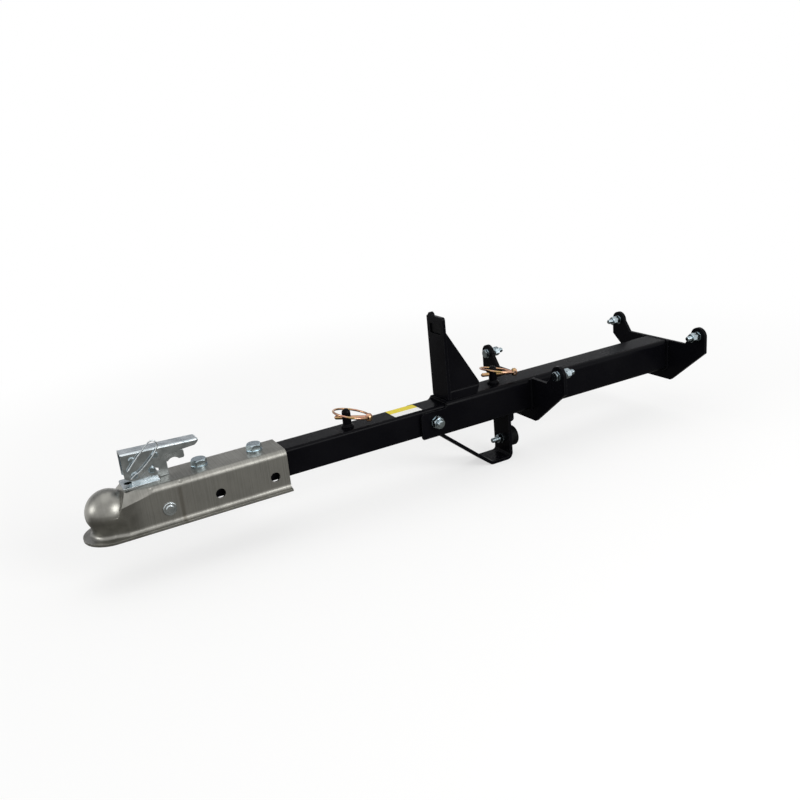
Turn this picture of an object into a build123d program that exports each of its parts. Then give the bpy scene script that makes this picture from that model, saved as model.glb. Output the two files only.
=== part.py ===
from build123d import *
from math import cos, hypot, radians, sin, sqrt
import os

# Folding trailer tow bar. X runs along the tongue and grows towards the
# machine, Y is across, Z is up. The origin is the centre of the rear plate's
# rear face, on the axis of both tubes. Lengths are millimetres.

# Rear tube and its open front
rear_tube_width = 50.8
rear_tube_wall = 4.5
rear_tube_corner = 7.5
rear_reach = 465.0  # pivot bolt to the rear plate's rear face
ear_reach = 24.5  # side walls ahead of the pivot bolt
ear_top_height = 17.0
ear_corner = 7.0
throat_radius = 6.0
throat_gap = 1.5  # top wall behind the folded tongue
tail_swing_gap = 2.5  # bottom wall behind the swinging tail

# Tongue tube
front_tube_width = 40.0
front_tube_wall = 3.0
front_tube_corner = 4.5
tail_reach = 131.0  # tube behind the pivot bolt
tube_in_coupler = 136.0
coupler_reach = 236.0  # pivot bolt to the coupler's rear end

# Cross plates that bolt to the machine
plate_thickness = 5.0
mid_plate_reach = 174.0  # pivot bolt to the middle plate's front face
plate_bottom_height = 42.7
plate_bottom_half = 32.2
wing_half = 102.4
wing_outer_height = 16.8
wing_root_half = 62.0
lug_radius = 14.0
lug_bolt_height = 43.5
plate_top_lift = 0.6  # plate edge over the tube's top face
plate_edge_round = 3.0
weld_leg = 4.0

# Flange bolts in the plates
lug_bolt_size = 8.0
lug_bolt_length = 29.0
lug_bolt_across = 13.0
lug_bolt_head = 6.0
lug_bolt_flange = 15.4
lug_flange_thickness = 1.6
lug_nut_height = 8.0
hole_clearance = 0.5  # radial, round every bolt
thread_lead = 0.9  # bevel on a bolt's free end

# Pivot bolt
pivot_size = 10.0
pivot_across = 16.0
pivot_head = 6.4
pivot_nut_height = 10.0
pivot_end = 3.5
pivot_fit = 0.05
washer_thickness = 1.8
washer_width = 1.8  # times the bolt's size

# Upright that holds the folded tongue
upright_width = 43.0
upright_head = 19.0  # top edge over the recess's middle
upright_thickness = 5.0
upright_gap = 5.5  # folded tube to the upright's front face
upright_corner = 4.0
lanyard_lug_radius = 6.0
lanyard_lug_lift = 4.5
recess_width = 28.5
recess_gap = 1.2  # round the front post
recess_depth = 3.6
gusset_thickness = 4.5
gusset_inset = 1.5  # from the upright's edge
gusset_drop = 2.5  # top of the webs under the recess's middle
gusset_toe = 3.0
saddle_height = 14.0
saddle_wall = 4.0
saddle_reach = 82.0
saddle_slant = 5.0

# Locking posts and their linch pins
post_reach = 130.5  # pivot bolt to the front post
rear_post_reach = 121.0
post_size = 12.5
post_height = 27.4
post_collar_size = 18.0
post_collar_height = 4.6
pin_size = 6.0
pin_height = 14.0  # pin's axis over the tube
pin_fit = 0.08
front_pin_turn = 42.7  # plan angle from the tongue
rear_pin_turn = 27.0
pin_tip_reach = 18.0
pin_head_reach = 33.0
pin_head_size = 12.0
pin_head_length = 8.0
pin_nose = 2.0
ring_radius = 26.0
ring_wire = 2.6
ring_tilt = 12.0  # rise along the pin
ring_lean = 10.0  # rise of the near side
ring_hole_gap = 0.9

# Stand strap and rubber foot under the tail
strap_thickness = 5.0
strap_bend = 8.0
strap_drop = 95.5  # axis to the middle of the strap's flat
strap_front_reach = 96.5
strap_top_height = 17.0
tail_pad_thickness = 5.5
tail_pad_drop = 36.5
tail_pad_round = 4.5
foot_height = 68.5
foot_diameter = 32.0
foot_thickness = 17.0
foot_edge = 2.5
foot_stud_size = 8.0
foot_stud_out = 19.0
foot_nut_across = 13.0
foot_nut_height = 6.5

# Ball coupler, pressed from sheet
ball_radius = 25.4
ball_gap = 0.6
coupler_wall = 3.2
ball_reach = 233.0  # coupler's rear end to the ball's centre
ball_drop = 3.5
coupler_corner = 8.0
coupler_depth = 34.0  # tongue axis to the lip's underside
lip_flare = 7.4
lip_round = 6.0
nose_tuck = 5.0  # how far the nose draws in under the ball
tuck_fade = 16.0
neck_gap = 6.0  # ball's centre to the foot of the channel's slanted front
neck_lean = 15.5  # how far that front leans back
shoulder_length = 46.0
shoulder_side_height = 6.0
shoulder_top_half = 10.0
shoulder_bulge = 3.0  # radius of the slanted shoulder, times its width
dent_places = (52.0, 89.0)  # dents in the bends, back from the ball's centre
dent_radius = 5.0
dent_depth = 1.0
coupler_bolt_size = 12.7
coupler_bolt_across = 19.0
coupler_bolt_head = 7.9
coupler_washer_size = 22.0
coupler_washer_thickness = 2.6
coupler_nut_height = 10.9
coupler_bolt_end = 3.0
bolt_first = 34.5  # coupler's rear end to the first bolt
bolt_pitch = 76.2
side_hole_first = 20.0
side_hole_height = 10.5
side_hole_size = 13.5

# Latch on the coupler. Its x places are measured back from the ball's centre.
base_plate_width = 36.0
base_plate_front = 21.0
base_plate_rear = 67.0
base_plate_thickness = 3.0
side_wall_thickness = 2.5
side_wall_gap = 0.3
side_wall_round = 5.0  # round each rivet
catch_width = 14.0
catch_height = 9.0
catch_thickness = 2.8
catch_bar = 3.0
latch_pivot_x = 38.0
latch_pivot_height = 38.5
base_rivet_x = 60.2
rivet_size = 5.0
rivet_head = 8.5
rivet_head_height = 1.8
rivet_bevel = 1.1
rivet_inner_head = 1.2
rivet_fit = 0.05
handle_width = 22.0
handle_sheet = 2.0
handle_front = 25.5
handle_rear = 124.5
handle_top_height = 69.0
handle_rear_height = 65.0
handle_end_low = 61.5
handle_front_low = 36.0
handle_low = 31.0
handle_under = ((42.5, handle_low), (64.0, 48.0), (78.5, 53.0), (102.5, 56.0), (118.5, 57.2))
handle_round = 2.5
handle_end_round = 4.0
crank_height = 58.5
trigger_pivot_x = 66.8
trigger_pivot_height = 58.0
trigger_thickness = 4.0
trigger_reach = 105.0
trigger_leg_width = 11.0
trigger_tab_low = 41.5
trigger_tab_top = 52.0
trigger_tab_round = 2.4
trigger_nose = 3.0
trigger_gap = 0.5
finger_radius = 9.0
finger_height = 36.0
clip_wire = 1.8
clip_loop_radius = 3.4
clip_loop_x = 66.0
clip_loop_height = 71.0
clip_bend = 3.0
clip_side_gap = 0.6
clip_leg_inside = 4.0
clip_hole_x = 30.5
clip_hole_height = 46.0

# Ball clamp under the coupler
clamp_pivot_x = 69.5
clamp_pivot_height = 10.8  # under the tongue axis
clamp_pin_size = 9.0
clamp_pin_head = 17.6
clamp_pin_rim_height = 1.8
clamp_pin_button = 10.5
clamp_pin_head_height = 3.0
clamp_pin_bevel = 0.6
clamp_pin_fit = 0.05
clamp_thickness = 5.0
clamp_side_gap = 1.2
clamp_cup = 11.0  # how far the jaw reaches under the ball
clamp_eye = 8.5
stem_size = 8.0
stem_gap = 0.9
stem_swing = 8.8  # how far the stem leans forward when the latch opens
stem_eye_size = 15.0
stem_eye_thickness = 6.0
stem_eye_play = 2.45
stem_eye_shift = 2.0  # eye's hole ahead of the rivet at rest
stem_eye_drop = 0.5
stem_nut_across = 13.0
stem_nut_height = 6.5
stem_nut_gap = 0.5
stem_end = 3.0

# Values that follow from the ones above
pivot_x = -rear_reach
rear_half = rear_tube_width / 2
front_half = front_tube_width / 2
throat_x = pivot_x + front_half + throat_gap
coupler_x = pivot_x - coupler_reach
coupler_half = ball_radius + ball_gap + coupler_wall
coupler_top = front_half + coupler_wall
ball_x = coupler_x - ball_reach
tail_x = pivot_x + tail_reach
strap_rear_x = tail_x + strap_thickness
tail_back_x = strap_rear_x + tail_pad_thickness
tail_sweep = hypot(tail_back_x - pivot_x, strap_top_height)
bottom_start_x = pivot_x + tail_sweep + tail_swing_gap
upright_x = pivot_x + front_half + upright_gap
upright_back_x = upright_x + upright_thickness
upright_top_height = post_reach + upright_head
gusset_top_height = post_reach - gusset_drop
latch_seat = coupler_top + base_plate_thickness
side_wall_outer = handle_width / 2 - handle_sheet - side_wall_gap
strap_width = front_tube_width
same_place = 0.01


def box_between(x, y, z):
    """Box from three pairs of limits."""
    size = [pair[1] - pair[0] for pair in (x, y, z)]
    middle = [sum(pair) / 2 for pair in (x, y, z)]
    return Pos(*middle) * Box(*size)


def rod(x, y, z, radius, length, axis):
    """Round bar that starts at a point and runs along an axis."""
    plane = Plane(origin=(x, y, z), z_dir=axis)
    return extrude(plane * Circle(radius), length)


def hexagon(x, y, z, across, length, axis):
    """Hexagon bar, its size given across the flats."""
    plane = Plane(origin=(x, y, z), z_dir=axis)
    return extrude(plane * RegularPolygon(across / 2, 6, major_radius=False), length)


def end_rings(shape, axis):
    """Round edges at the end of a shape that an axis points to."""
    way = Vector(*axis)
    rings = shape.edges().filter_by(GeomType.CIRCLE)
    reach = max(ring.arc_center.dot(way) for ring in rings)
    return [ring for ring in rings if reach - ring.arc_center.dot(way) < same_place]


def bolt_shank(x, y, z, size, length, axis):
    """Shank of a bolt, bevelled at its free end."""
    bar = rod(x, y, z, size / 2, length, axis)
    return chamfer(end_rings(bar, axis), thread_lead)


def hex_head(x, y, z, across, length, axis):
    """Hexagon head or nut with its outer corners turned off."""
    corner = across / sqrt(3)
    bar = rod(x, y, z, corner, length, axis)
    bar = chamfer(end_rings(bar, axis), (corner - across / 2) * 1.3)
    return hexagon(x, y, z, across, length, axis) & bar


def washer(x, y, z, size, thickness, hole, axis):
    """Flat washer round a bolt."""
    return rod(x, y, z, size / 2, thickness, axis) - rod(x, y, z, hole, thickness, axis)


def square_section(width, corner, x):
    """Rounded square across the tongue, at one X."""
    plane = Plane(origin=(x, 0, 0), x_dir=(0, 1, 0), z_dir=(1, 0, 0))
    return plane * RectangleRounded(width, width, corner)


def square_tube(width, wall, corner, x_start, x_end):
    """Square tube with rounded corners along the tongue."""
    length = x_end - x_start
    outside = extrude(square_section(width, corner, x_start), length)
    bore = extrude(square_section(width - 2 * wall, max(corner - wall, wall / 4), x_start), length)
    return outside - bore


def make_rear_tube():
    """Rear tube. Its front is cut to two ears and opens downwards for the tail."""
    x_front = pivot_x - ear_reach
    tube = square_tube(rear_tube_width, rear_tube_wall, rear_tube_corner, x_front, -plate_thickness)
    side = rear_half * 2
    top_cut = box_between((x_front - side, throat_x), (-side, side), (ear_top_height, side))
    low_edges = top_cut.edges().filter_by(Axis.Y).sort_by(Axis.Z)[:2]
    top_cut = fillet(low_edges.sort_by(Axis.X)[-1:], throat_radius)
    inner = rear_half - rear_tube_wall
    bottom_cut = box_between((x_front - side, bottom_start_x), (-inner, inner), (-side, 0))
    tube = tube - top_cut - bottom_cut
    upper = box_between((x_front - side, pivot_x), (-side, side), (ear_top_height - side, ear_top_height))
    nose = box_between((x_front, bottom_start_x), (-side, side), (-rear_half, ear_top_height))
    nose = fillet(nose.edges().filter_by(Axis.Y).sort_by(Axis.X)[:2], ear_corner)
    front = box_between((x_front - side, pivot_x), (-side, side), (-side, side))
    tube = tube - (front & upper) + (tube & front & nose)
    hole = rod(pivot_x, -side, 0, pivot_size / 2 + pivot_fit, 2 * side, (0, 1, 0))
    post_hole = rod(pivot_x + rear_post_reach, 0, 0, post_size / 2, side, (0, 0, 1))
    return tube - hole - post_hole


def make_tongue_tube():
    """Front tube, from inside the coupler to the tail behind the pivot."""
    x_front = coupler_x - tube_in_coupler
    tube = square_tube(front_tube_width, front_tube_wall, front_tube_corner, x_front, tail_x)
    tube -= rod(pivot_x, -front_half, 0, pivot_size / 2 + pivot_fit, front_tube_width, (0, 1, 0))
    for number in range(2):
        x = coupler_x - bolt_first - number * bolt_pitch
        radius = coupler_bolt_size / 2 + hole_clearance
        tube -= rod(x, 0, -front_half, radius, front_tube_width, (0, 0, 1))
    return tube


def plate_outline():
    """Outline of a cross plate: a shallow V with a round lug on each wing."""
    lug_y = wing_half - lug_radius
    top = rear_half + plate_top_lift
    right = [
        (plate_bottom_half, -plate_bottom_height),
        (wing_half, wing_outer_height),
        (wing_half, lug_bolt_height),
        (lug_y - lug_radius, lug_bolt_height),
        (wing_root_half, top),
    ]
    left = [(-y, z) for y, z in reversed(right)]
    outline = make_face(Polyline(*right, *left, close=True))
    bottom = outline.vertices().group_by(Axis.Y)[0]
    outline = fillet(bottom, plate_edge_round)
    for sign in (-1, 1):
        lug = Pos(sign * lug_y, lug_bolt_height) * Circle(lug_radius)
        hole = Pos(sign * lug_y, lug_bolt_height) * Circle(lug_bolt_size / 2 + hole_clearance)
        outline = outline + lug - hole
    return outline


def make_plate(x, tube_passes):
    """Cross plate with its front face at x, with or without the tube's cut-out."""
    plane = Plane(origin=(x, 0, 0), x_dir=(0, 1, 0), z_dir=(1, 0, 0))
    plate = extrude(plane * plate_outline(), plate_thickness)
    if tube_passes:
        square = extrude(square_section(rear_tube_width, rear_tube_corner, x), plate_thickness)
        above = box_between((x, x + plate_thickness), (-rear_half, rear_half), (0, rear_tube_width))
        plate = plate - square - above
    return plate


def make_plate_weld(x, way):
    """Fillet weld round the tube against a plate, on the side that way points to."""
    start = Plane(origin=(x, 0, 0), x_dir=(0, 1, 0), z_dir=(way, 0, 0))
    wide = start * RectangleRounded(
        rear_tube_width + 2 * weld_leg, rear_tube_width + 2 * weld_leg, rear_tube_corner + weld_leg
    )
    bead = extrude(wide, weld_leg, taper=45)
    tube = extrude(square_section(rear_tube_width, rear_tube_corner, x - weld_leg), 2 * weld_leg)
    above = box_between(
        (x - weld_leg, x + weld_leg), (-rear_tube_width, rear_tube_width), (rear_half, rear_tube_width)
    )
    return bead - tube - above


def lug_places():
    """Y of the two lug bolts."""
    return (lug_radius - wing_half, wing_half - lug_radius)


def make_lug_bolts(face_x, way):
    """Flange bolts in both lugs. The heads sit on face_x and way points to the shank."""
    bolts = []
    for y in lug_places():
        flange = rod(face_x, y, lug_bolt_height, lug_bolt_flange / 2, lug_flange_thickness, (-way, 0, 0))
        head = hex_head(face_x, y, lug_bolt_height, lug_bolt_across, lug_bolt_head, (-way, 0, 0))
        shank = bolt_shank(face_x, y, lug_bolt_height, lug_bolt_size, lug_bolt_length, (way, 0, 0))
        bolts.append(flange + head + shank)
    return Compound(bolts)


def make_lug_nuts(face_x, way):
    """Flange nuts on both lug bolts. They sit on face_x and stand out along way."""
    nuts = []
    for y in lug_places():
        flange = rod(face_x, y, lug_bolt_height, lug_bolt_flange / 2, lug_flange_thickness, (way, 0, 0))
        body = hex_head(face_x, y, lug_bolt_height, lug_bolt_across, lug_nut_height, (way, 0, 0))
        bore = rod(face_x, y, lug_bolt_height, lug_bolt_size / 2, lug_nut_height, (way, 0, 0))
        nuts.append(flange + body - bore)
    return Compound(nuts)


def make_pivot_bolt():
    """Pivot bolt across the ears. Its head is on the far side."""
    seat = rear_half + washer_thickness
    length = 2 * rear_half + 2 * washer_thickness + pivot_nut_height + pivot_end
    shank = bolt_shank(pivot_x, seat, 0, pivot_size, length, (0, -1, 0))
    return shank + hex_head(pivot_x, seat, 0, pivot_across, pivot_head, (0, 1, 0))


def make_pivot_washers():
    """Washer against the outside of each ear."""
    size = pivot_size * washer_width
    far = washer(pivot_x, rear_half, 0, size, washer_thickness, pivot_size / 2, (0, 1, 0))
    near = washer(pivot_x, -rear_half, 0, size, washer_thickness, pivot_size / 2, (0, -1, 0))
    return Compound([far, near])


def make_pivot_nut():
    """Locking nut: a hexagon with a round collar that holds the nylon ring."""
    seat = -rear_half - washer_thickness
    collar = pivot_nut_height / 4
    body = hex_head(pivot_x, seat, 0, pivot_across, pivot_nut_height - collar, (0, -1, 0))
    radius = (pivot_across - washer_thickness) / 2
    body += rod(pivot_x, seat, 0, radius, pivot_nut_height, (0, -1, 0))
    return body - rod(pivot_x, seat, 0, pivot_size / 2, pivot_nut_height, (0, -1, 0))


def make_upright_plate():
    """Upright plate across the tongue, with a shallow recess at the front post's height."""
    half = upright_width / 2
    plane = Plane(origin=(upright_x, 0, 0), x_dir=(0, 1, 0), z_dir=(1, 0, 0))
    corners = [(-half, rear_half), (half, rear_half), (half, upright_top_height), (-half, upright_top_height)]
    outline = make_face(Polyline(*corners, close=True))
    outline = fillet(outline.vertices().group_by(Axis.Y)[-1], upright_corner)
    lug_y = half - lanyard_lug_radius - upright_corner
    lug_middle = upright_top_height + lanyard_lug_lift - lanyard_lug_radius
    outline += Pos(lug_y, lug_middle) * Circle(lanyard_lug_radius)
    plate = extrude(plane * outline, upright_thickness)
    recess = Pos(0, post_reach) * Rectangle(recess_width, post_size + 2 * recess_gap)
    return plate - extrude(plane * recess, recess_depth)


def make_upright_gussets():
    """Pair of three-cornered webs behind the upright, on the saddle's two sides."""
    foot = rear_half + saddle_height
    toe_x = pivot_x + saddle_reach
    points = [
        (upright_back_x, gusset_top_height),
        (upright_back_x, foot),
        (toe_x, foot),
        (toe_x, foot + gusset_toe),
    ]
    outline = make_face(Plane.XZ * Polyline(*points, close=True))
    web = extrude(outline, gusset_thickness / 2, both=True)
    y = upright_width / 2 - gusset_inset - gusset_thickness / 2
    return Compound([Pos(0, -y, 0) * web, Pos(0, y, 0) * web])


def make_upright_saddle():
    """Folded channel between the gusset and the rear tube, open underneath."""
    half = upright_width / 2
    top = rear_half + saddle_height
    end_x = pivot_x + saddle_reach
    points = [
        (upright_back_x, rear_half),
        (end_x - saddle_slant, rear_half),
        (end_x, top),
        (upright_back_x, top),
    ]
    outside = extrude(make_face(Plane.XZ * Polyline(*points, close=True)), half, both=True)
    edges = outside.edges().filter_by(Axis.X).group_by(Axis.Z)[-1]
    outside = fillet(edges, saddle_wall)
    inside = half - saddle_wall
    room = box_between((upright_back_x, end_x), (-inside, inside), (0, top - saddle_wall))
    return outside - room


def turned(angle):
    """Direction in plan, turned from the tongue towards the near side."""
    return cos(radians(angle)), -sin(radians(angle))


def make_post(x, base, turn):
    """Locking post: a collar, a round shank with a domed top and a cross hole."""
    dome = post_size / 2
    shank = rod(x, 0, base, dome, post_height - dome, (0, 0, 1))
    shank += Pos(x, 0, base + post_height - dome) * Sphere(dome)
    collar_plane = Plane(origin=(x, 0, base))
    collar = extrude(collar_plane * Circle(post_collar_size / 2), post_collar_height)
    collar = chamfer(collar.edges().group_by(Axis.Z)[-1], (post_collar_size - post_size) / 2 - hole_clearance)
    start = pin_point(x, base, turn, -post_size)
    hole = rod(*start, pin_size / 2 + pin_fit, 2 * post_size, (*turned(turn), 0))
    return shank + collar - hole


def pin_point(x, base, turn, along, up=0):
    """Point on a linch pin's line, at a distance from its post's axis."""
    way = turned(turn)
    return (x + way[0] * along, way[1] * along, base + pin_height + up)


def make_linch_pin(x, base, turn):
    """Linch pin: a shank with a pointed nose and a head that the ring goes through."""
    way = (*turned(turn), 0)
    length = pin_tip_reach + pin_head_reach
    shank = rod(*pin_point(x, base, turn, -pin_tip_reach), pin_size / 2, length, way)
    shank = chamfer(shank.edges().filter_by(GeomType.CIRCLE).sort_by(Axis.X)[:1], pin_nose)
    head_start = pin_point(x, base, turn, pin_head_reach - pin_head_length / 2)
    head = rod(*head_start, pin_head_size / 2, pin_head_length, way)
    head = chamfer(head.edges().filter_by(GeomType.CIRCLE), pin_nose)
    across = ring_line(turn)
    start = Vector(*pin_point(x, base, turn, pin_head_reach)) - across * pin_head_size
    hole = rod(*start, ring_wire / 2 + ring_hole_gap, 2 * pin_head_size, across)
    return shank + head - hole


def ring_line(turn):
    """Line of the ring's hole through a pin's head, level or rising to the near side."""
    way = turned(turn)
    lean = radians(ring_lean)
    return Vector(way[1] * cos(lean), -way[0] * cos(lean), sin(lean))


def make_ring(x, base, turn):
    """Wire ring of a linch pin. It runs through the head and round the post."""
    tilt = radians(ring_tilt)
    way = turned(turn)
    back = Vector(-way[0] * cos(tilt), -way[1] * cos(tilt), sin(tilt))
    across = ring_line(turn)
    normal = back.cross(across)
    inward = across.cross(normal).normalized()
    middle = Vector(*pin_point(x, base, turn, pin_head_reach)) + inward * ring_radius
    plane = Plane(origin=middle, x_dir=across, z_dir=normal)
    return plane * Torus(ring_radius, ring_wire / 2)


def make_strap():
    """Stand strap: a flat bar bent to a slant, a flat and an upright leg."""
    middle = strap_thickness / 2
    leg_x = tail_x + middle
    front_x = pivot_x + strap_front_reach
    slope = (strap_drop - front_half) / (strap_front_reach - strap_thickness)
    run = strap_front_reach
    points = [
        (front_x - run, 0, -strap_drop + run * slope),
        (front_x, 0, -strap_drop),
        (leg_x, 0, -strap_drop),
        (leg_x, 0, strap_top_height),
    ]
    path = FilletPolyline(*points, radius=strap_bend)
    start = Plane(origin=path @ 0, x_dir=(0, 1, 0), z_dir=path % 0)
    bar = sweep(start * Rectangle(strap_width, strap_thickness), path)
    side = front_tube_width
    bar -= box_between((front_x - 2 * run, tail_x), (-side, side), (-front_half, 2 * side))
    return bar - rod(tail_x, 0, -foot_height, foot_stud_size / 2, strap_thickness, (1, 0, 0))


def make_tail_pad():
    """Stop pad welded behind the strap's leg, with a rounded lower edge."""
    half = strap_width / 2
    pad = box_between((strap_rear_x, tail_back_x), (-half, half), (-tail_pad_drop, strap_top_height))
    low = pad.edges().filter_by(Axis.Y).sort_by(Axis.Z)[:2].sort_by(Axis.X)[-1:]
    return fillet(low, min(tail_pad_round, tail_pad_thickness * 0.9))


def make_rubber_foot():
    """Rubber foot: a thick disc with a rounded rim, on a moulded-in stud."""
    disc = rod(strap_rear_x, 0, -foot_height, foot_diameter / 2, foot_thickness, (1, 0, 0))
    disc = fillet(end_rings(disc, (1, 0, 0)), foot_edge)
    core = rod(strap_rear_x, 0, -foot_height, foot_stud_size / 2, foot_thickness / 2, (1, 0, 0))
    return disc - core


def make_foot_stud():
    """Stud from inside the rubber, through the strap's leg to its nut."""
    length = foot_thickness / 2 + strap_thickness + foot_stud_out
    start = strap_rear_x + foot_thickness / 2
    return bolt_shank(start, 0, -foot_height, foot_stud_size, length, (-1, 0, 0))


def make_foot_nut():
    """Nut and washer in front of the strap's leg."""
    size = foot_stud_size * washer_width
    ring = washer(tail_x, 0, -foot_height, size, washer_thickness, foot_stud_size / 2, (-1, 0, 0))
    seat = tail_x - washer_thickness
    nut = hex_head(seat, 0, -foot_height, foot_nut_across, foot_nut_height, (-1, 0, 0))
    nut -= rod(seat, 0, -foot_height, foot_stud_size / 2, foot_nut_height, (-1, 0, 0))
    return Compound([ring, nut])


def channel_face(x, half, top, side_height, top_half, bulge):
    """Upper section of the coupler's channel: sides, a bent shoulder each side and the top."""
    plane = Plane(origin=(x, 0, 0), x_dir=(0, 1, 0), z_dir=(1, 0, 0))
    low = -ball_drop
    lines = [
        Line((top_half, top), (-top_half, top)),
        RadiusArc((-top_half, top), (-half, side_height), -bulge),
        Line((-half, side_height), (-half, low)),
        Line((-half, low), (half, low)),
        Line((half, low), (half, side_height)),
        RadiusArc((half, side_height), (top_half, top), -bulge),
    ]
    return plane * make_face(Wire(lines))


def neck_room(inset):
    """Space ahead of the channel's slanted front, moved back by inset inside the sheet."""
    rise = coupler_top + ball_drop
    x = ball_x + neck_gap + inset * hypot(neck_lean, rise) / rise
    high = 2 * rise - ball_drop
    points = [
        (x, -ball_drop),
        (x + 2 * neck_lean, high),
        (ball_x - coupler_half, high),
        (ball_x - coupler_half, -ball_drop),
    ]
    outline = make_face(Plane.XZ * Polyline(*points, close=True))
    return extrude(outline, coupler_half, both=True)


def coupler_form(inset):
    """Coupler above the ball's centre, shrunk by inset: channel, shoulders and dome."""
    half = coupler_half - inset
    top = coupler_top - inset
    corner = coupler_corner - inset
    neck_x = ball_x + neck_gap
    shoulder_x = neck_x + shoulder_length
    plain = channel_face(shoulder_x, half, top, top - corner, half - corner, corner)
    slant = hypot(half - shoulder_top_half, top - shoulder_side_height)
    front = channel_face(
        neck_x, half, top, shoulder_side_height, shoulder_top_half, shoulder_bulge * slant
    )
    channel = extrude(plain, coupler_x - shoulder_x) + loft([front, plain])
    from_below = (Align.CENTER, Align.CENTER, Align.MIN)
    dome = Pos(ball_x, 0, -ball_drop) * Sphere(half, arc_size1=0, align=from_below)
    return channel - neck_room(inset) + dome


def wall_section(x, tuck):
    """Section of the lower wall and its flared lip. Tuck draws it in under the ball."""
    wall = coupler_wall
    start = (x, wall - coupler_half, -coupler_depth)
    plane = Plane(origin=start, x_dir=(0, -1, 0), z_dir=(-1, 0, 0))
    top = coupler_depth - ball_drop
    waist = wall + lip_round
    pull = (top - waist) / 2
    outer = wall - tuck
    flare = wall + lip_flare
    lines = [
        Bezier((wall, top), (wall, top - pull), (outer, waist + pull), (outer, waist)),
        Bezier((outer, waist), (outer, wall), (outer + lip_round, wall)),
        Line((outer + lip_round, wall), (flare, wall)),
        Line((flare, wall), (flare, 0)),
        Line((flare, 0), (-tuck, 0)),
        Line((-tuck, 0), (-tuck, waist)),
        Bezier((-tuck, waist), (-tuck, waist + pull), (0, top - pull), (0, top)),
        Line((0, top), (wall, top)),
    ]
    return plane * make_face(Wire(lines))


def make_lower_wall():
    """Lower walls with the lip: straight along the channel, drawn in round the nose."""
    nose_section = wall_section(ball_x, nose_tuck)
    fade_x = ball_x + tuck_fade
    side_section = wall_section(fade_x, 0)
    near = extrude(side_section, fade_x - coupler_x) + loft([nose_section, side_section])
    axis = Axis((ball_x, 0, 0), (0, 0, 1))
    return near + mirror(near, Plane.XZ) + revolve(nose_section, axis, -180)


def make_dents():
    """Balls that press the small dents into the channel's bends."""
    bend_y = coupler_half - coupler_corner
    bend_z = coupler_top - coupler_corner
    reach = (coupler_corner + dent_radius - dent_depth) / sqrt(2)
    balls = []
    for place in dent_places:
        for sign in (-1, 1):
            balls.append(Pos(ball_x + place, sign * (bend_y + reach), bend_z + reach) * Sphere(dent_radius))
    return balls


def make_coupler_body():
    """Pressed coupler: channel, shoulders and ball dome in one sheet, with a lip."""
    inner = coupler_half - coupler_wall
    body = coupler_form(0) - coupler_form(coupler_wall)
    rear = (coupler_x - coupler_wall, coupler_x + coupler_wall)
    body -= box_between(rear, (-inner, inner), (-coupler_depth, front_half))
    body += make_lower_wall()
    for number in range(2):
        x = coupler_x - bolt_first - number * bolt_pitch
        body -= rod(x, 0, 0, coupler_bolt_size / 2 + hole_clearance, 2 * coupler_top, (0, 0, 1))
        x = coupler_x - side_hole_first - number * bolt_pitch
        start = (x, -2 * coupler_half, -side_hole_height)
        body -= rod(*start, side_hole_size / 2, 4 * coupler_half, (0, 1, 0))
    start = (ball_x + clamp_pivot_x, -2 * coupler_half, -clamp_pivot_height)
    body -= rod(*start, clamp_pin_size / 2, 4 * coupler_half, (0, 1, 0))
    for ball in make_dents():
        body -= ball
    return body - stem_slot(0, 2 * coupler_top)


def stem_slot(low, height):
    """Long hole that lets the stem lean forward."""
    radius = stem_size / 2 + stem_gap
    centre = ball_x + latch_pivot_x - stem_swing / 2
    outline = Pos(centre, 0, low) * SlotOverall(2 * radius + stem_swing, 2 * radius)
    return extrude(outline, height)


def make_coupler_bolts():
    """Hexagon bolts down through the coupler and the tongue tube."""
    seat = coupler_top + coupler_washer_thickness
    length = seat + front_half + coupler_washer_thickness + coupler_nut_height + coupler_bolt_end
    bolts = []
    for number in range(2):
        x = coupler_x - bolt_first - number * bolt_pitch
        shank = bolt_shank(x, 0, seat, coupler_bolt_size, length, (0, 0, -1))
        head = hex_head(x, 0, seat, coupler_bolt_across, coupler_bolt_head, (0, 0, 1))
        bolts.append(shank + head)
    return Compound(bolts)


def make_coupler_washers():
    """Washers under the heads and over the nuts."""
    rings = []
    for number in range(2):
        x = coupler_x - bolt_first - number * bolt_pitch
        hole = coupler_bolt_size / 2
        thickness = coupler_washer_thickness
        rings.append(washer(x, 0, coupler_top, coupler_washer_size, thickness, hole, (0, 0, 1)))
        rings.append(washer(x, 0, -front_half, coupler_washer_size, thickness, hole, (0, 0, -1)))
    return Compound(rings)


def make_coupler_nuts():
    """Nuts under the tongue tube."""
    seat = -front_half - coupler_washer_thickness
    nuts = []
    for number in range(2):
        x = coupler_x - bolt_first - number * bolt_pitch
        nut = hex_head(x, 0, seat, coupler_bolt_across, coupler_nut_height, (0, 0, -1))
        nuts.append(nut - rod(x, 0, seat, coupler_bolt_size / 2, coupler_nut_height, (0, 0, -1)))
    return Compound(nuts)


def side_pair(sign, outer, thickness):
    """Limits in Y of a sheet on one side."""
    inner = outer - thickness
    return tuple(sorted((sign * outer, sign * inner)))


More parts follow.
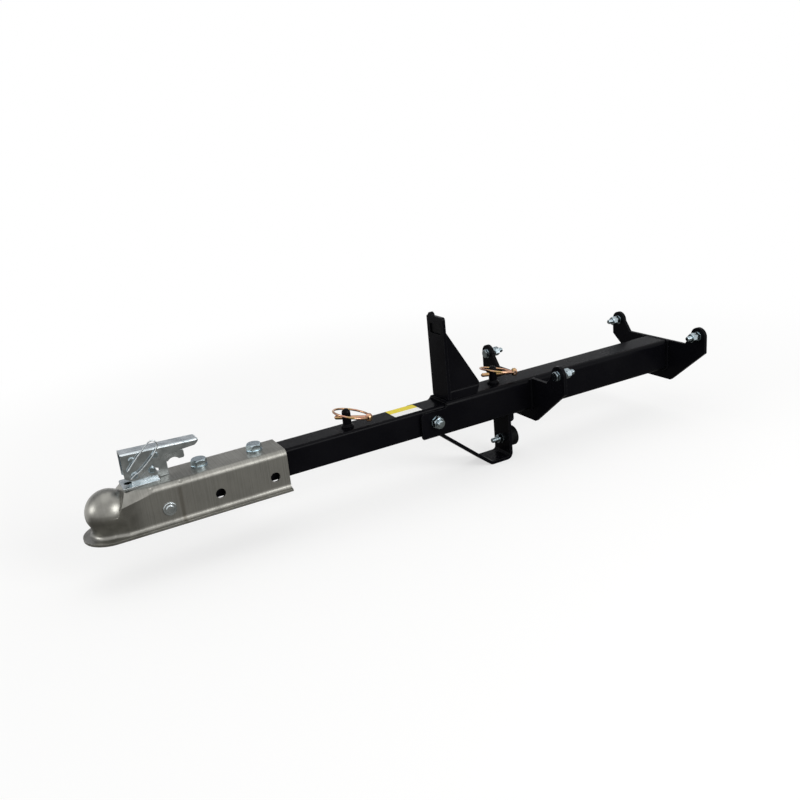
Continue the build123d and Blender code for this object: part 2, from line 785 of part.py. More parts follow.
def make_latch_base():
    """Latch base: a plate on the coupler with two side walls and a windowed catch behind."""
    half = base_plate_width / 2
    rear = ball_x + base_plate_rear
    plate = box_between((ball_x + base_plate_front, rear), (-half, half), (coupler_top, latch_seat))
    plate = fillet(plate.edges().filter_by(Axis.Z), base_plate_thickness)
    front_x = ball_x + latch_pivot_x
    rear_x = ball_x + base_rivet_x
    round_end = side_wall_round
    level = latch_pivot_height
    for sign in (-1, 1):
        pair = side_pair(sign, side_wall_outer, side_wall_thickness)
        wall = box_between((front_x - round_end, rear_x + round_end), pair, (coupler_top, level))
        wall += box_between((front_x, rear_x), pair, (coupler_top, level + round_end))
        for x in (front_x, rear_x):
            wall += rod(x, pair[0], level, round_end, side_wall_thickness, (0, 1, 0))
        plate += wall
    catch_half = catch_width / 2
    catch_top = latch_seat + catch_height
    catch = box_between((rear - catch_thickness, rear), (-catch_half, catch_half), (coupler_top, catch_top))
    window_half = trigger_thickness / 2 + trigger_gap
    window = box_between(
        (rear - 2 * catch_thickness, rear + catch_thickness),
        (-window_half, window_half),
        (latch_seat, catch_top - catch_bar),
    )
    plate = plate + catch - window
    for x in (front_x, rear_x):
        plate -= rod(x, -half, level, rivet_size / 2, base_plate_width, (0, 1, 0))
    return plate - stem_slot(coupler_top, base_plate_thickness)


def rivet_button(x, y, z, way):
    """Bevelled rivet head that stands on a sheet."""
    head = rod(x, y, z, rivet_head / 2, rivet_head_height, (0, way, 0))
    return chamfer(end_rings(head, (0, way, 0)), rivet_bevel)


def cross_rivet(x, z, half):
    """Rivet through two sheets, its heads on their outer faces."""
    pin = rod(x, -half, z, rivet_size / 2, 2 * half, (0, 1, 0))
    return pin + rivet_button(x, -half, z, -1) + rivet_button(x, half, z, 1)


def make_latch_rivets():
    """Rivet through the base's walls, and two short ones that the handle turns on."""
    x = ball_x + latch_pivot_x
    half = handle_width / 2
    inner = side_wall_outer - side_wall_thickness
    rivets = [cross_rivet(ball_x + base_rivet_x, latch_pivot_height, side_wall_outer)]
    for sign in (-1, 1):
        start = (x, sign * (inner - rivet_inner_head), latch_pivot_height)
        rivet = rod(*start, rivet_size / 2, half - inner + rivet_inner_head, (0, sign, 0))
        rivet += rod(*start, (rivet_size + rivet_head) / 4, rivet_inner_head, (0, sign, 0))
        rivets.append(rivet + rivet_button(x, sign * half, latch_pivot_height, sign))
    return Compound(rivets)


def make_handle():
    """Latch handle: a channel of folded sheet, deep and open in front, shallow along the grip."""
    points = [
        (handle_front, handle_top_height),
        (handle_front, handle_front_low),
        (latch_pivot_x - side_wall_round, handle_low),
        *handle_under,
        (handle_rear, handle_end_low),
        (handle_rear, handle_rear_height),
    ]
    points = [(ball_x + x, z) for x, z in points]
    outline = make_face(Plane.XZ * Polyline(*points, close=True))
    half = handle_width / 2
    outside = extrude(outline, half, both=True)
    rear_edges = outside.faces().sort_by(Axis.X)[-1].edges().filter_by(Axis.Z)
    outside = fillet(rear_edges, handle_end_round)
    upper = outside.faces().sort_by(Axis.Z)[-1]
    front_edge = upper.edges().sort_by(Axis.X)[0]
    outside = fillet([edge for edge in upper.edges() if edge != front_edge], handle_round)
    room_points = [
        (handle_front - handle_sheet, handle_top_height - handle_sheet),
        (handle_front - handle_sheet, 0),
        (handle_rear - handle_sheet, 0),
        (handle_rear - handle_sheet, handle_rear_height - handle_sheet),
    ]
    room_points = [(ball_x + x, z) for x, z in room_points]
    room_face = make_face(Plane.XZ * Polyline(*room_points, close=True))
    handle = outside - extrude(room_face, half - handle_sheet, both=True)
    for x, z in handle_rivet_places():
        handle -= rod(ball_x + x, -half, z, rivet_size / 2, handle_width, (0, 1, 0))
    hole = rivet_size / 2 + rivet_fit
    handle -= rod(ball_x + latch_pivot_x, -half, latch_pivot_height, hole, handle_width, (0, 1, 0))
    hole = clip_wire / 2 + pin_fit
    return handle - rod(ball_x + clip_hole_x, -half, clip_hole_height, hole, half, (0, 1, 0))


def handle_rivet_places():
    """Stem crank and trigger pivot."""
    return ((latch_pivot_x, crank_height), (trigger_pivot_x, trigger_pivot_height))


def make_handle_rivets():
    """Rivets through the handle, for the stem and for the trigger."""
    half = handle_width / 2
    return Compound([cross_rivet(ball_x + x, z, half) for x, z in handle_rivet_places()])


def make_trigger():
    """Trigger plate with a nose at the catch, a finger notch and a pull tab."""
    tip = ball_x + base_plate_rear + trigger_gap
    left = tip + trigger_nose
    leg = left + trigger_leg_width
    stop = ball_x + base_rivet_x + rivet_size / 2 + trigger_gap
    right = ball_x + trigger_reach
    pivot = ball_x + trigger_pivot_x
    low = coupler_top + trigger_gap
    nose_low = latch_seat + trigger_gap
    nose_top = latch_seat + catch_height - catch_bar - trigger_gap
    top = trigger_pivot_height
    eye = rivet_size
    tab = [(right, trigger_tab_low), (right, trigger_tab_top)]
    points = [
        (left, low),
        (leg, low),
        (leg, trigger_tab_low),
        *tab,
        (pivot, top + eye),
        (stop, top),
        (stop, latch_pivot_height),
        (left, latch_pivot_height - rivet_size / 2),
        (left, nose_top),
        (tip, nose_top),
        (tip, nose_low),
        (left, nose_low),
    ]
    outline = make_face(Polyline(*points, close=True))
    outline = fillet(outline.vertices().sort_by(Axis.X)[-2:], trigger_tab_round)
    outline -= Pos(leg + finger_radius, finger_height) * Circle(finger_radius)
    outline += Pos(pivot, top) * Circle(eye)
    outline -= Pos(pivot, top) * Circle(rivet_size / 2 + rivet_fit)
    return extrude(Plane.XZ * outline, trigger_thickness / 2, both=True)


def make_safety_clip():
    """Spring wire clip: one leg through the handle, two legs up to a round loop."""
    y = -handle_width / 2 - rivet_head_height - clip_side_gap - clip_wire / 2
    hole_x = ball_x + clip_hole_x
    loop_x = ball_x + clip_loop_x
    rise = clip_loop_height - clip_hole_height
    run = loop_x - hole_x
    length = hypot(run, rise)
    way = Vector(run / length, 0, rise / length)
    side = Vector(-rise / length, 0, run / length)
    foot = Vector(hole_x, y, clip_hole_height)
    crown = foot + way * length
    width = 2 * clip_loop_radius
    leg = Line(
        Vector(hole_x, clip_leg_inside - handle_width / 2 + handle_sheet, clip_hole_height),
        Vector(hole_x, y + clip_bend, clip_hole_height),
    )
    bend_end = foot + way * clip_bend
    bend_middle = Vector(hole_x, y + clip_bend, clip_hole_height) + way * clip_bend
    halfway = bend_middle - (Vector(0, 1, 0) + way) * (clip_bend / sqrt(2))
    bend = ThreePointArc(leg @ 1, halfway, bend_end)
    up = Line(bend_end, crown)
    top = crown + side * clip_loop_radius + way * clip_loop_radius
    loop = ThreePointArc(crown, top, crown + side * width)
    down = Line(crown + side * width, foot + side * width)
    path = Wire([leg, bend, up, loop, down])
    start = Plane(origin=leg @ 0, z_dir=leg % 0)
    return sweep(start * Circle(clip_wire / 2), path)


def make_clamp():
    """Ball clamp: a jaw under the ball, on ears that turn on the side rivet."""
    half = coupler_half - coupler_wall - clamp_side_gap
    pivot = ball_x + clamp_pivot_x
    front = ball_x + ball_radius - clamp_cup
    middle = -ball_drop
    jaw_top = middle - clamp_cup
    jaw_low = jaw_top - clamp_cup
    body = box_between((front, pivot), (-half, half), (jaw_low, jaw_top))
    ball = Pos(ball_x, 0, middle) * Sphere(ball_radius + ball_gap / 2)
    body = body - ball
    eye = rod(pivot, -half, -clamp_pivot_height, clamp_eye, 2 * half, (0, 1, 0))
    body += eye
    open_half = half - clamp_thickness
    room = box_between(
        (ball_x + ball_radius + clamp_thickness, pivot + 2 * clamp_eye),
        (-open_half, open_half),
        (jaw_low + clamp_thickness, clamp_eye),
    )
    body -= room
    hole = clamp_pin_size / 2 + clamp_pin_fit
    body -= rod(pivot, -half, -clamp_pivot_height, hole, 2 * half, (0, 1, 0))
    slot = stem_size / 2
    return body - rod(ball_x + latch_pivot_x, 0, jaw_low, slot, clamp_cup, (0, 0, 1))


def make_clamp_pin():
    """Rivet across the coupler's sides that the clamp turns on."""
    x = ball_x + clamp_pivot_x
    pin = rod(x, -coupler_half, -clamp_pivot_height, clamp_pin_size / 2, 2 * coupler_half, (0, 1, 0))
    steps = ((clamp_pin_head, clamp_pin_rim_height), (clamp_pin_button, clamp_pin_head_height))
    for way in (-1, 1):
        for size, height in steps:
            head = rod(x, way * coupler_half, -clamp_pivot_height, size / 2, height, (0, way, 0))
            pin += chamfer(end_rings(head, (0, way, 0)), clamp_pin_bevel)
    return pin


def stem_low():
    """Underside of the clamp's floor, where the stem's nut seats."""
    return -ball_drop - 2 * clamp_cup


def make_stem():
    """Pull rod from the handle's crank rivet down through the coupler and the clamp."""
    x = ball_x + latch_pivot_x
    low = stem_low() - stem_nut_gap - stem_nut_height - stem_end
    bar = rod(x, 0, low, stem_size / 2, crank_height - low, (0, 0, 1))
    half = stem_eye_thickness / 2
    eye_x = x - stem_eye_shift / 2
    bar += rod(eye_x, -half, crank_height, stem_eye_size / 2, stem_eye_thickness, (0, 1, 0))
    hole = rivet_size / 2 + stem_eye_play
    start = (x - stem_eye_shift, -stem_size, crank_height - stem_eye_drop)
    bar -= rod(*start, hole, 2 * stem_size, (0, 1, 0))
    low = crank_height - stem_eye_size / 2
    thin = box_between((x - stem_eye_size, x + stem_eye_size), (half, stem_size), (low, 2 * crank_height))
    return bar - thin - mirror(thin, Plane.XZ)


def make_stem_nut():
    """Nut under the clamp that sets how hard it grips the ball."""
    x = ball_x + latch_pivot_x
    seat = stem_low() - stem_nut_gap
    nut = hex_head(x, 0, seat, stem_nut_across, stem_nut_height, (0, 0, -1))
    return nut - rod(x, 0, seat, stem_size / 2, stem_nut_height, (0, 0, -1))


def add_nodes():
    """Every sub-part by its node's name."""
    mid_x = pivot_x + mid_plate_reach
    rear_x = -plate_thickness
    front_post_x = pivot_x - post_reach
    rear_post_x = pivot_x + rear_post_reach
    return {
        "rear_tube": make_rear_tube(),
        "rear_plate": make_plate(rear_x, False),
        "rear_plate_weld": make_plate_weld(rear_x, -1),
        "rear_plate_bolts": make_lug_bolts(0, -1),
        "rear_plate_nuts": make_lug_nuts(rear_x, -1),
        "middle_plate": make_plate(mid_x, True),
        "middle_plate_weld": make_plate_weld(mid_x, -1),
        "middle_plate_bolts": make_lug_bolts(mid_x, 1),
        "middle_plate_nuts": make_lug_nuts(mid_x + plate_thickness, 1),
        "upright_plate": make_upright_plate(),
        "upright_gussets": make_upright_gussets(),
        "upright_saddle": make_upright_saddle(),
        "rear_post": make_post(rear_post_x, rear_half, rear_pin_turn),
        "pivot_bolt": make_pivot_bolt(),
        "pivot_washers": make_pivot_washers(),
        "pivot_nut": make_pivot_nut(),
        "tongue_tube": make_tongue_tube(),
        "front_post": make_post(front_post_x, front_half, front_pin_turn),
        "stand_strap": make_strap(),
        "tail_pad": make_tail_pad(),
        "rubber_foot": make_rubber_foot(),
        "foot_stud": make_foot_stud(),
        "foot_nut": make_foot_nut(),
        "coupler_body": make_coupler_body(),
        "coupler_bolts": make_coupler_bolts(),
        "coupler_washers": make_coupler_washers(),
        "coupler_nuts": make_coupler_nuts(),
        "latch_base": make_latch_base(),
        "latch_rivets": make_latch_rivets(),
        "latch_handle": make_handle(),
        "handle_rivets": make_handle_rivets(),
        "latch_trigger": make_trigger(),
        "safety_clip": make_safety_clip(),
        "ball_clamp": make_clamp(),
        "clamp_pin": make_clamp_pin(),
        "clamp_stem": make_stem(),
        "stem_nut": make_stem_nut(),
        "front_linch_pin": make_linch_pin(front_post_x, front_half, front_pin_turn),
        "front_linch_ring": make_ring(front_post_x, front_half, front_pin_turn),
        "rear_linch_pin": make_linch_pin(rear_post_x, rear_half, rear_pin_turn),
        "rear_linch_ring": make_ring(rear_post_x, rear_half, rear_pin_turn),
    }


os.makedirs("parts", exist_ok=True)
for name, shape in add_nodes().items():
    export_step(shape, "parts/" + name + ".step")
    print(name, len(shape.solids()), round(shape.volume))
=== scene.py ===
from math import cos, pi, radians, sin

import bmesh
import bpy
from mathutils import Matrix, Vector


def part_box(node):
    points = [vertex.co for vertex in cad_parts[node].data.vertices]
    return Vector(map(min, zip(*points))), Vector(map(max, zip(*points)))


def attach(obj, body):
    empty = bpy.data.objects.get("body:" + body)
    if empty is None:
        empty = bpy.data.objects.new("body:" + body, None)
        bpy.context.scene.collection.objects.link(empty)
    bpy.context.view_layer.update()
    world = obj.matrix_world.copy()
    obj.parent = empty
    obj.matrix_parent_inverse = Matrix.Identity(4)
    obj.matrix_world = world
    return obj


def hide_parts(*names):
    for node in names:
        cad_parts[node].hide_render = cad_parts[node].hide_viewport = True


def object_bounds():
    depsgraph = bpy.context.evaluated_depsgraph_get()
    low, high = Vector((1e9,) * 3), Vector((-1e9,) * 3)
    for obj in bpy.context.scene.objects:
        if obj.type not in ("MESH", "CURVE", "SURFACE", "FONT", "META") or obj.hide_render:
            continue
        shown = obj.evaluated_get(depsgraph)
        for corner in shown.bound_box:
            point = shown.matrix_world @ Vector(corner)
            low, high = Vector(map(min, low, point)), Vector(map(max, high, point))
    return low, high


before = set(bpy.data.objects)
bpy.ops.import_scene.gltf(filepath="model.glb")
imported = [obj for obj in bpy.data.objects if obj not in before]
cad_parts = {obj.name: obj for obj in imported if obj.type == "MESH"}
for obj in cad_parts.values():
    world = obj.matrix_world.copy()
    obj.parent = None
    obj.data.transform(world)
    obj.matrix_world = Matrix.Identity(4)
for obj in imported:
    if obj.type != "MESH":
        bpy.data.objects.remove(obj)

cad_low, cad_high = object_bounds()
mm = 0.001

# Studio
# A white paper floor that fades into a white surround, and three large soft lamps:
# one overhead, one from the coupler's end and one beside the camera.


def hex_linear(code):
    """Linear colour from an sRGB hex value."""
    linear = []
    for place in (1, 3, 5):
        part = int(code[place:place + 2], 16) / 255
        linear.append(part / 12.92 if part <= 0.04045 else ((part + 0.055) / 1.055) ** 2.4)
    return (*linear, 1)


def add_node(tree, kind, settings=None, links=None):
    """Adds one node, with the values it is set to and the outputs linked into it."""
    made = tree.nodes.new(kind)
    for name, value in (settings or {}).items():
        if isinstance(name, int) or name in made.inputs:
            made.inputs[name].default_value = value
        else:
            setattr(made, name, value)
    for name, source in (links or {}).items():
        tree.links.new(source, made.inputs[name])
    return made


def start_material(name):
    """New material with an empty node tree."""
    material = bpy.data.materials.new(name)
    material.use_nodes = True
    material.node_tree.nodes.clear()
    return material, material.node_tree


def seen_directly(tree):
    """1 for the rays that show the background: camera, glossy and transmission rays."""
    path = add_node(tree, "ShaderNodeLightPath")
    mirrored = add_node(
        tree, "ShaderNodeMath", {"operation": "MAXIMUM"},
        {0: path.outputs["Is Camera Ray"], 1: path.outputs["Is Glossy Ray"]},
    )
    either = add_node(
        tree, "ShaderNodeMath", {"operation": "MAXIMUM"},
        {0: mirrored.outputs[0], 1: path.outputs["Is Transmission Ray"]},
    )
    return either.outputs[0]


lit_surround = 0.65  # how strongly the surround lights the object
world = bpy.data.worlds.new("white_surround")
bpy.context.scene.world = world
world.use_nodes = True
sky = world.node_tree
sky.nodes.clear()
level = add_node(
    sky, "ShaderNodeMapRange", {"To Min": lit_surround, "To Max": 1.0},
    {"Value": seen_directly(sky)},
)
surround = add_node(
    sky, "ShaderNodeBackground", {"Color": hex_linear("#FFFFFF")},
    {"Strength": level.outputs["Result"]},
)
add_node(sky, "ShaderNodeOutputWorld", None, {"Surface": surround.outputs["Background"]})

half_floor = 8.0
floor_level = cad_low.z
floor_middle = (cad_low + cad_high) / 2
shadow_reach = 0.55  # within this radius the paper shows the most shadow
white_reach = 1.3  # from here on it is as white as the surround
near_white = 0.6  # share of plain white close to the object
floor_mesh = bpy.data.meshes.new("floor")
floor_corners = ((-1, -1), (1, -1), (1, 1), (-1, 1))
floor_mesh.from_pydata(
    [(x * half_floor, y * half_floor, 0) for x, y in floor_corners], [], [(0, 1, 2, 3)]
)
floor = bpy.data.objects.new("floor", floor_mesh)
floor.location = (floor_middle.x, floor_middle.y, floor_level)
bpy.context.collection.objects.link(floor)
floor_paper, tree = start_material("floor_white_paper")
place = add_node(tree, "ShaderNodeTexCoord")
away = add_node(tree, "ShaderNodeVectorMath", {"operation": "LENGTH"}, {0: place.outputs["Object"]})
fade = add_node(
    tree, "ShaderNodeMapRange",
    {
        "interpolation_type": "SMOOTHSTEP", "From Min": shadow_reach, "From Max": white_reach,
        "To Min": near_white, "To Max": 1.0,
    },
    {"Value": away.outputs["Value"]},
)
paper = add_node(tree, "ShaderNodeBsdfDiffuse", {"Color": hex_linear("#F7F7F6")})
glow = add_node(tree, "ShaderNodeEmission", {"Color": hex_linear("#FFFFFF"), "Strength": 1.0})
share = add_node(
    tree, "ShaderNodeMath", {"operation": "MULTIPLY"},
    {0: seen_directly(tree), 1: fade.outputs["Result"]},
)
mixed = add_node(
    tree, "ShaderNodeMixShader", None,
    {0: share.outputs[0], 1: paper.outputs["BSDF"], 2: glow.outputs["Emission"]},
)
add_node(tree, "ShaderNodeOutputMaterial", None, {"Surface": mixed.outputs["Shader"]})
floor.data.materials.append(floor_paper)


def soft_lamp(name, place, size, power):
    """Large square lamp that faces the middle of the object."""
    data = bpy.data.lights.new(name, "AREA")
    data.size = size
    data.energy = power
    lamp = bpy.data.objects.new(name, data)
    lamp.location = floor_middle + Vector(place)
    lamp.rotation_euler = (floor_middle - lamp.location).to_track_quat("-Z", "Y").to_euler()
    bpy.context.collection.objects.link(lamp)


soft_lamp("overhead_lamp", (0.1, 0.4, 2.3), 2.4, 6.4)
soft_lamp("coupler_end_lamp", (-2.6, 0.35, 0.75), 0.9, 13)
soft_lamp("camera_side_lamp", (0.8, -1.95, 1.0), 1.2, 29)

# Reflection cards
# Two grey cards that only reflections show. One lies on the floor, mostly on the camera's
# side, and one stands behind. They keep the bright metal from mirroring nothing but white.


def glossy_card(name, points, faces, colour):
    """Grey card that only reflections show."""
    mesh = bpy.data.meshes.new(name)
    mesh.from_pydata(points, [], faces)
    card = bpy.data.objects.new(name, mesh)
    bpy.context.collection.objects.link(card)
    paint, tree = start_material(name + "_grey")
    grey = add_node(tree, "ShaderNodeBsdfDiffuse", {"Color": hex_linear(colour)})
    add_node(tree, "ShaderNodeOutputMaterial", None, {"Surface": grey.outputs["BSDF"]})
    mesh.materials.append(paint)
    card.visible_camera = False
    card.visible_diffuse = False
    card.visible_shadow = False
    card.visible_transmission = False


card_lift = 0.5 * mm
ground_parts = ((-2.6, -2.8, 1.8, 0.12), (-1.05, 0.12, 0.6, 1.1))  # low x and y, high x and y
ground_points = []
ground_faces = []
for low_x, low_y, high_x, high_y in ground_parts:
    first = len(ground_points)
    corners = ((low_x, low_y), (high_x, low_y), (high_x, high_y), (low_x, high_y))
    ground_points += [(x, y, floor_level + card_lift) for x, y in corners]
    ground_faces.append((first, first + 1, first + 2, first + 3))
glossy_card("ground_card", ground_points, ground_faces, "#7A7873")
back_away = 3.0  # y of the card behind
back_low = 0.8
back_high = 4.2
back_half = 4.0  # half of its width
back_points = [
    (floor_middle.x + end * back_half, back_away, z)
    for end, z in ((-1, back_low), (1, back_low), (1, back_high), (-1, back_high))
]
glossy_card("back_card", back_points, [(0, 1, 2, 3)], "#BEBFC3")

# Camera
# The photo is taken from the coupler's end and the near side, a little above, with the
# camera tipped so that the tongue climbs to the right.
photo_size = 800  # pixels each way
focal_pixels = 818.56
centre_pixels = (367.62, 389.62)
camera_turn = radians(-25.468)
camera_rise = radians(17.772)
camera_roll = radians(6.356)
camera_place = Vector((-1032.6, -996.6, 420.1)) * mm
sensor_width = 36.0

forward = Vector(
    (-sin(camera_turn) * cos(camera_rise), cos(camera_turn) * cos(camera_rise), -sin(camera_rise))
)
level_right = Vector((cos(camera_turn), sin(camera_turn), 0))
level_down = forward.cross(level_right)
right = level_right * cos(camera_roll) + level_down * sin(camera_roll)
down = level_down * cos(camera_roll) - level_right * sin(camera_roll)
camera_data = bpy.data.cameras.new("camera")
camera_data.sensor_width = sensor_width
camera_data.lens = sensor_width * focal_pixels / photo_size
camera_data.shift_x = 0.5 - centre_pixels[0] / photo_size
camera_data.shift_y = centre_pixels[1] / photo_size - 0.5
camera = bpy.data.objects.new("camera", camera_data)
turn = Matrix((right, -down, -forward)).transposed().to_4x4()
camera.matrix_world = Matrix.Translation(camera_place) @ turn
bpy.context.collection.objects.link(camera)
bpy.context.scene.camera = camera
bpy.context.scene.view_settings.view_transform = "Standard"

# Tubes, plates, upright, posts and strap
# Mild steel tube and plate, sawn, punched and welded, then powder coated satin black.
# The coat gives a fine orange peel, a soft sheen on top and lighter edges that are
# partly worn coat and partly a painted highlight.
edge_lighten_starts = 0.99  # how far the rounded normal still agrees with the face's own
edge_lighten_full = 0.8


def edge_wear_and_highlight(tree, rounded, most):
    """Lighter edge share, partly wear and partly painted highlight: none on a flat face, the most
    along its edges.
    """
    face = add_node(tree, "ShaderNodeNewGeometry")
    agree = add_node(
        tree, "ShaderNodeVectorMath", {"operation": "DOT_PRODUCT"},
        {0: rounded.outputs["Normal"], 1: face.outputs["Normal"]},
    )
    worn_and_lit = add_node(
        tree, "ShaderNodeMapRange",
        {"From Min": edge_lighten_starts, "From Max": edge_lighten_full, "To Min": 0.0, "To Max": most},
        {"Value": agree.outputs["Value"]},
    )
    return worn_and_lit.outputs["Result"]


def powder_coat():
    """Satin black powder coat on steel."""
    material, tree = start_material("black_powder_coat")
    where = add_node(tree, "ShaderNodeTexCoord").outputs["Object"]
    peel_width = 1.3 * mm  # real peel is near 0.8 mm, drawn coarser so that it shows
    cloud_width = 55 * mm
    dust_width = 0.7 * mm
    edge_round = 0.8 * mm
    peel = add_node(
        tree, "ShaderNodeTexNoise", {"Scale": 1 / peel_width, "Detail": 2.0}, {"Vector": where}
    )
    cloud = add_node(
        tree, "ShaderNodeTexNoise", {"Scale": 1 / cloud_width, "Detail": 5.0}, {"Vector": where}
    )
    dust = add_node(
        tree, "ShaderNodeTexNoise", {"Scale": 1 / dust_width, "Detail": 2.0}, {"Vector": where}
    )
    colour = add_node(tree, "ShaderNodeValToRGB", None, {"Fac": cloud.outputs["Fac"]})
    colour.color_ramp.elements[0].position = 0.35
    colour.color_ramp.elements[0].color = hex_linear("#07070A")
    colour.color_ramp.elements[1].position = 0.7
    colour.color_ramp.elements[1].color = hex_linear("#0B0B0E")
    specks = add_node(
        tree, "ShaderNodeMapRange",
        {"From Min": 0.68, "From Max": 0.78, "To Min": 0.0, "To Max": 0.12},
        {"Value": dust.outputs["Fac"]},
    )
    dusty = add_node(
        tree, "ShaderNodeMix", {"data_type": "RGBA", 7: hex_linear("#56565A")},
        {0: specks.outputs["Result"], 6: colour.outputs["Color"]},
    )
    rounded = add_node(tree, "ShaderNodeBevel", {"samples": 4, "Radius": edge_round})
    # Edges lighten towards grey: partly worn coat, partly a painted highlight.
    coat = add_node(
        tree, "ShaderNodeMix", {"data_type": "RGBA", 7: hex_linear("#3A3A3C")},
        {0: edge_wear_and_highlight(tree, rounded, 0.5), 6: dusty.outputs[2]},
    )
    rough = add_node(
        tree, "ShaderNodeMapRange",
        {"From Min": 0.3, "From Max": 0.7, "To Min": 0.2, "To Max": 0.32},
        {"Value": cloud.outputs["Fac"]},
    )
    bump = add_node(
        tree, "ShaderNodeBump", {"Strength": 0.22, "Distance": 0.06 * mm},
        {"Height": peel.outputs["Fac"], "Normal": rounded.outputs["Normal"]},
    )
    surface = add_node(
        tree, "ShaderNodeBsdfPrincipled",
        {"Metallic": 0.0, "IOR": 1.5, "Specular IOR Level": 0.042},
        {
            "Base Color": coat.outputs[2],
            "Roughness": rough.outputs["Result"],
            "Normal": bump.outputs["Normal"],
        },
    )
    add_node(tree, "ShaderNodeOutputMaterial", None, {"Surface": surface.outputs["BSDF"]})
    return material


def finish_nodes(material, names):
    """Gives the named CAD nodes one material."""
    for name in names:
        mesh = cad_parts[name].data
        mesh.materials.clear()
        mesh.materials.append(material)


black_coat = powder_coat()
finish_nodes(
    black_coat,
    (
        "rear_tube", "rear_plate", "middle_plate", "upright_plate", "upright_gussets",
        "upright_saddle", "rear_post", "tongue_tube", "front_post", "stand_strap", "tail_pad",
    ),
)

# Plate welds
# One run of wire weld joins each plate to the tube's sides and underside. The pool
# freezes in overlapping ripples, and the coat follows them.
weld_leg = 4.0 * mm
weld_pitch = 1.9 * mm
weld_step = 0.475 * mm
weld_arc_points = 7
weld_fill = 0.86  # of the leg, between ripples
ripple_height = 0.13  # of the leg
ripple_bow = 0.8  # of the pitch, how far each ripple's middle trails
tube_half = 25.4 * mm
tube_corner = 7.5 * mm
corner_points = 14


def place_mesh(name, mesh, material, body):
    """Object from a mesh, with its material, that rides on a CAD body."""
    mesh.materials.clear()
    mesh.materials.append(material)
    made = bpy.data.objects.new(name, mesh)
    bpy.context.collection.objects.link(made)
    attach(made, body)
    return made


def weld_line():
    """Points and outward directions down one side of the tube, below it and up the other."""
    flat = tube_half - tube_corner
    route = [(Vector((0, tube_half, tube_half)), Vector((0, 1, 0)))]
    for quarter, middle_y in ((0, flat), (1, -flat)):
        for number in range(corner_points + 1):
            angle = -(quarter + number / corner_points) * pi / 2
            out = Vector((0, cos(angle), sin(angle)))
            route.append((Vector((0, middle_y, -flat)) + out * tube_corner, out))
    route.append((Vector((0, -tube_half, tube_half)), Vector((0, -1, 0))))
    dense = []
    for (start, first_out), (end, last_out) in zip(route, route[1:]):
        count = max(1, round((end - start).length / weld_step))
        for number in range(count):
            share = number / count
            dense.append((start.lerp(end, share), first_out.lerp(last_out, share).normalized()))
    dense.append(route[-1])
    return dense


def weld_bead(name, node, plate_face):
    """Rippled fillet bead between a plate's face and the tube."""
    made = bmesh.new()
    rows = []
    travel = 0.0
    line = weld_line()
    last_point = line[0][0]
    for point, out in line:
        travel += (point - last_point).length
        last_point = point
        corner = Vector((plate_face, 0, 0)) + point
        row = []
        for number in range(weld_arc_points):
            angle = number / (weld_arc_points - 1) * pi / 2
            bow = ripple_bow * sin(2 * angle)
            ripple = (travel / weld_pitch + bow) % 1.0
            crest = ripple_height * ripple * (2 - ripple) * sin(2 * angle)
            reach = weld_leg * (weld_fill + crest)
            off_plate = Vector((-reach * sin(angle), 0, 0))
            row.append(made.verts.new(corner + out * reach * cos(angle) + off_plate))
        row.append(made.verts.new(corner))
        rows.append(row)
    for first, second in zip(rows, rows[1:]):
        for number in range(len(first)):
            after = (number + 1) % len(first)
            made.faces.new((first[number], first[after], second[after], second[number]))
    made.faces.new(rows[0][::-1])
    made.faces.new(rows[-1])
    bmesh.ops.recalc_face_normals(made, faces=made.faces)
    for face in made.faces:
        face.smooth = len(face.verts) == 4
    mesh = bpy.data.meshes.new(name)
    made.to_mesh(mesh)
    made.free()
    bead = place_mesh(name, mesh, black_coat, "rear_frame")
    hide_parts(node)


weld_bead("rear_weld_bead", "rear_plate_weld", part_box("rear_plate_weld")[1].x)
weld_bead("middle_weld_bead", "middle_plate_weld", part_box("middle_plate_weld")[1].x)

# Painted shade in the upright's recess
# A thin mat black sheet on the floor of the recess that takes the front post's end when the
# tongue is folded up. It stands in for the recess's shade, so it stays darker than the coat.
shade_sheet_low = Vector((-435.9, -13.6, 123.7)) * mm
shade_sheet_high = Vector((-435.9, 13.6, 137.3)) * mm
shade_sheet_round = 1.5 * mm
shade_sheet_thickness = 0.7 * mm
round_steps = 5
rim_share = 0.4  # of the thickness, the round on the upper edge


def mat_rubber():
    """Mat black rubber with a fine bloom."""
    material, tree = start_material("moulded_black_rubber")
    where = add_node(tree, "ShaderNodeTexCoord").outputs["Object"]
    bloom_width = 6 * mm
    grain_width = 0.9 * mm
    bloom = add_node(
        tree, "ShaderNodeTexNoise", {"Scale": 1 / bloom_width, "Detail": 6.0}, {"Vector": where}
    )
    grain = add_node(
        tree, "ShaderNodeTexNoise", {"Scale": 1 / grain_width, "Detail": 3.0}, {"Vector": where}
    )
    colour = add_node(tree, "ShaderNodeValToRGB", None, {"Fac": bloom.outputs["Fac"]})
    colour.color_ramp.elements[0].position = 0.35
    colour.color_ramp.elements[0].color = hex_linear("#060607")
    colour.color_ramp.elements[1].position = 0.7
    colour.color_ramp.elements[1].color = hex_linear("#101011")
    bump = add_node(
        tree, "ShaderNodeBump", {"Strength": 0.35, "Distance": 0.08 * mm},
        {"Height": grain.outputs["Fac"]},
    )
    surface = add_node(
        tree, "ShaderNodeBsdfPrincipled",
        {"Metallic": 0.0, "IOR": 1.52, "Roughness": 0.6, "Specular IOR Level": 0.06},
        {"Base Color": colour.outputs["Color"], "Normal": bump.outputs["Normal"]},
    )
    add_node(tree, "ShaderNodeOutputMaterial", None, {"Surface": surface.outputs["BSDF"]})
    return material


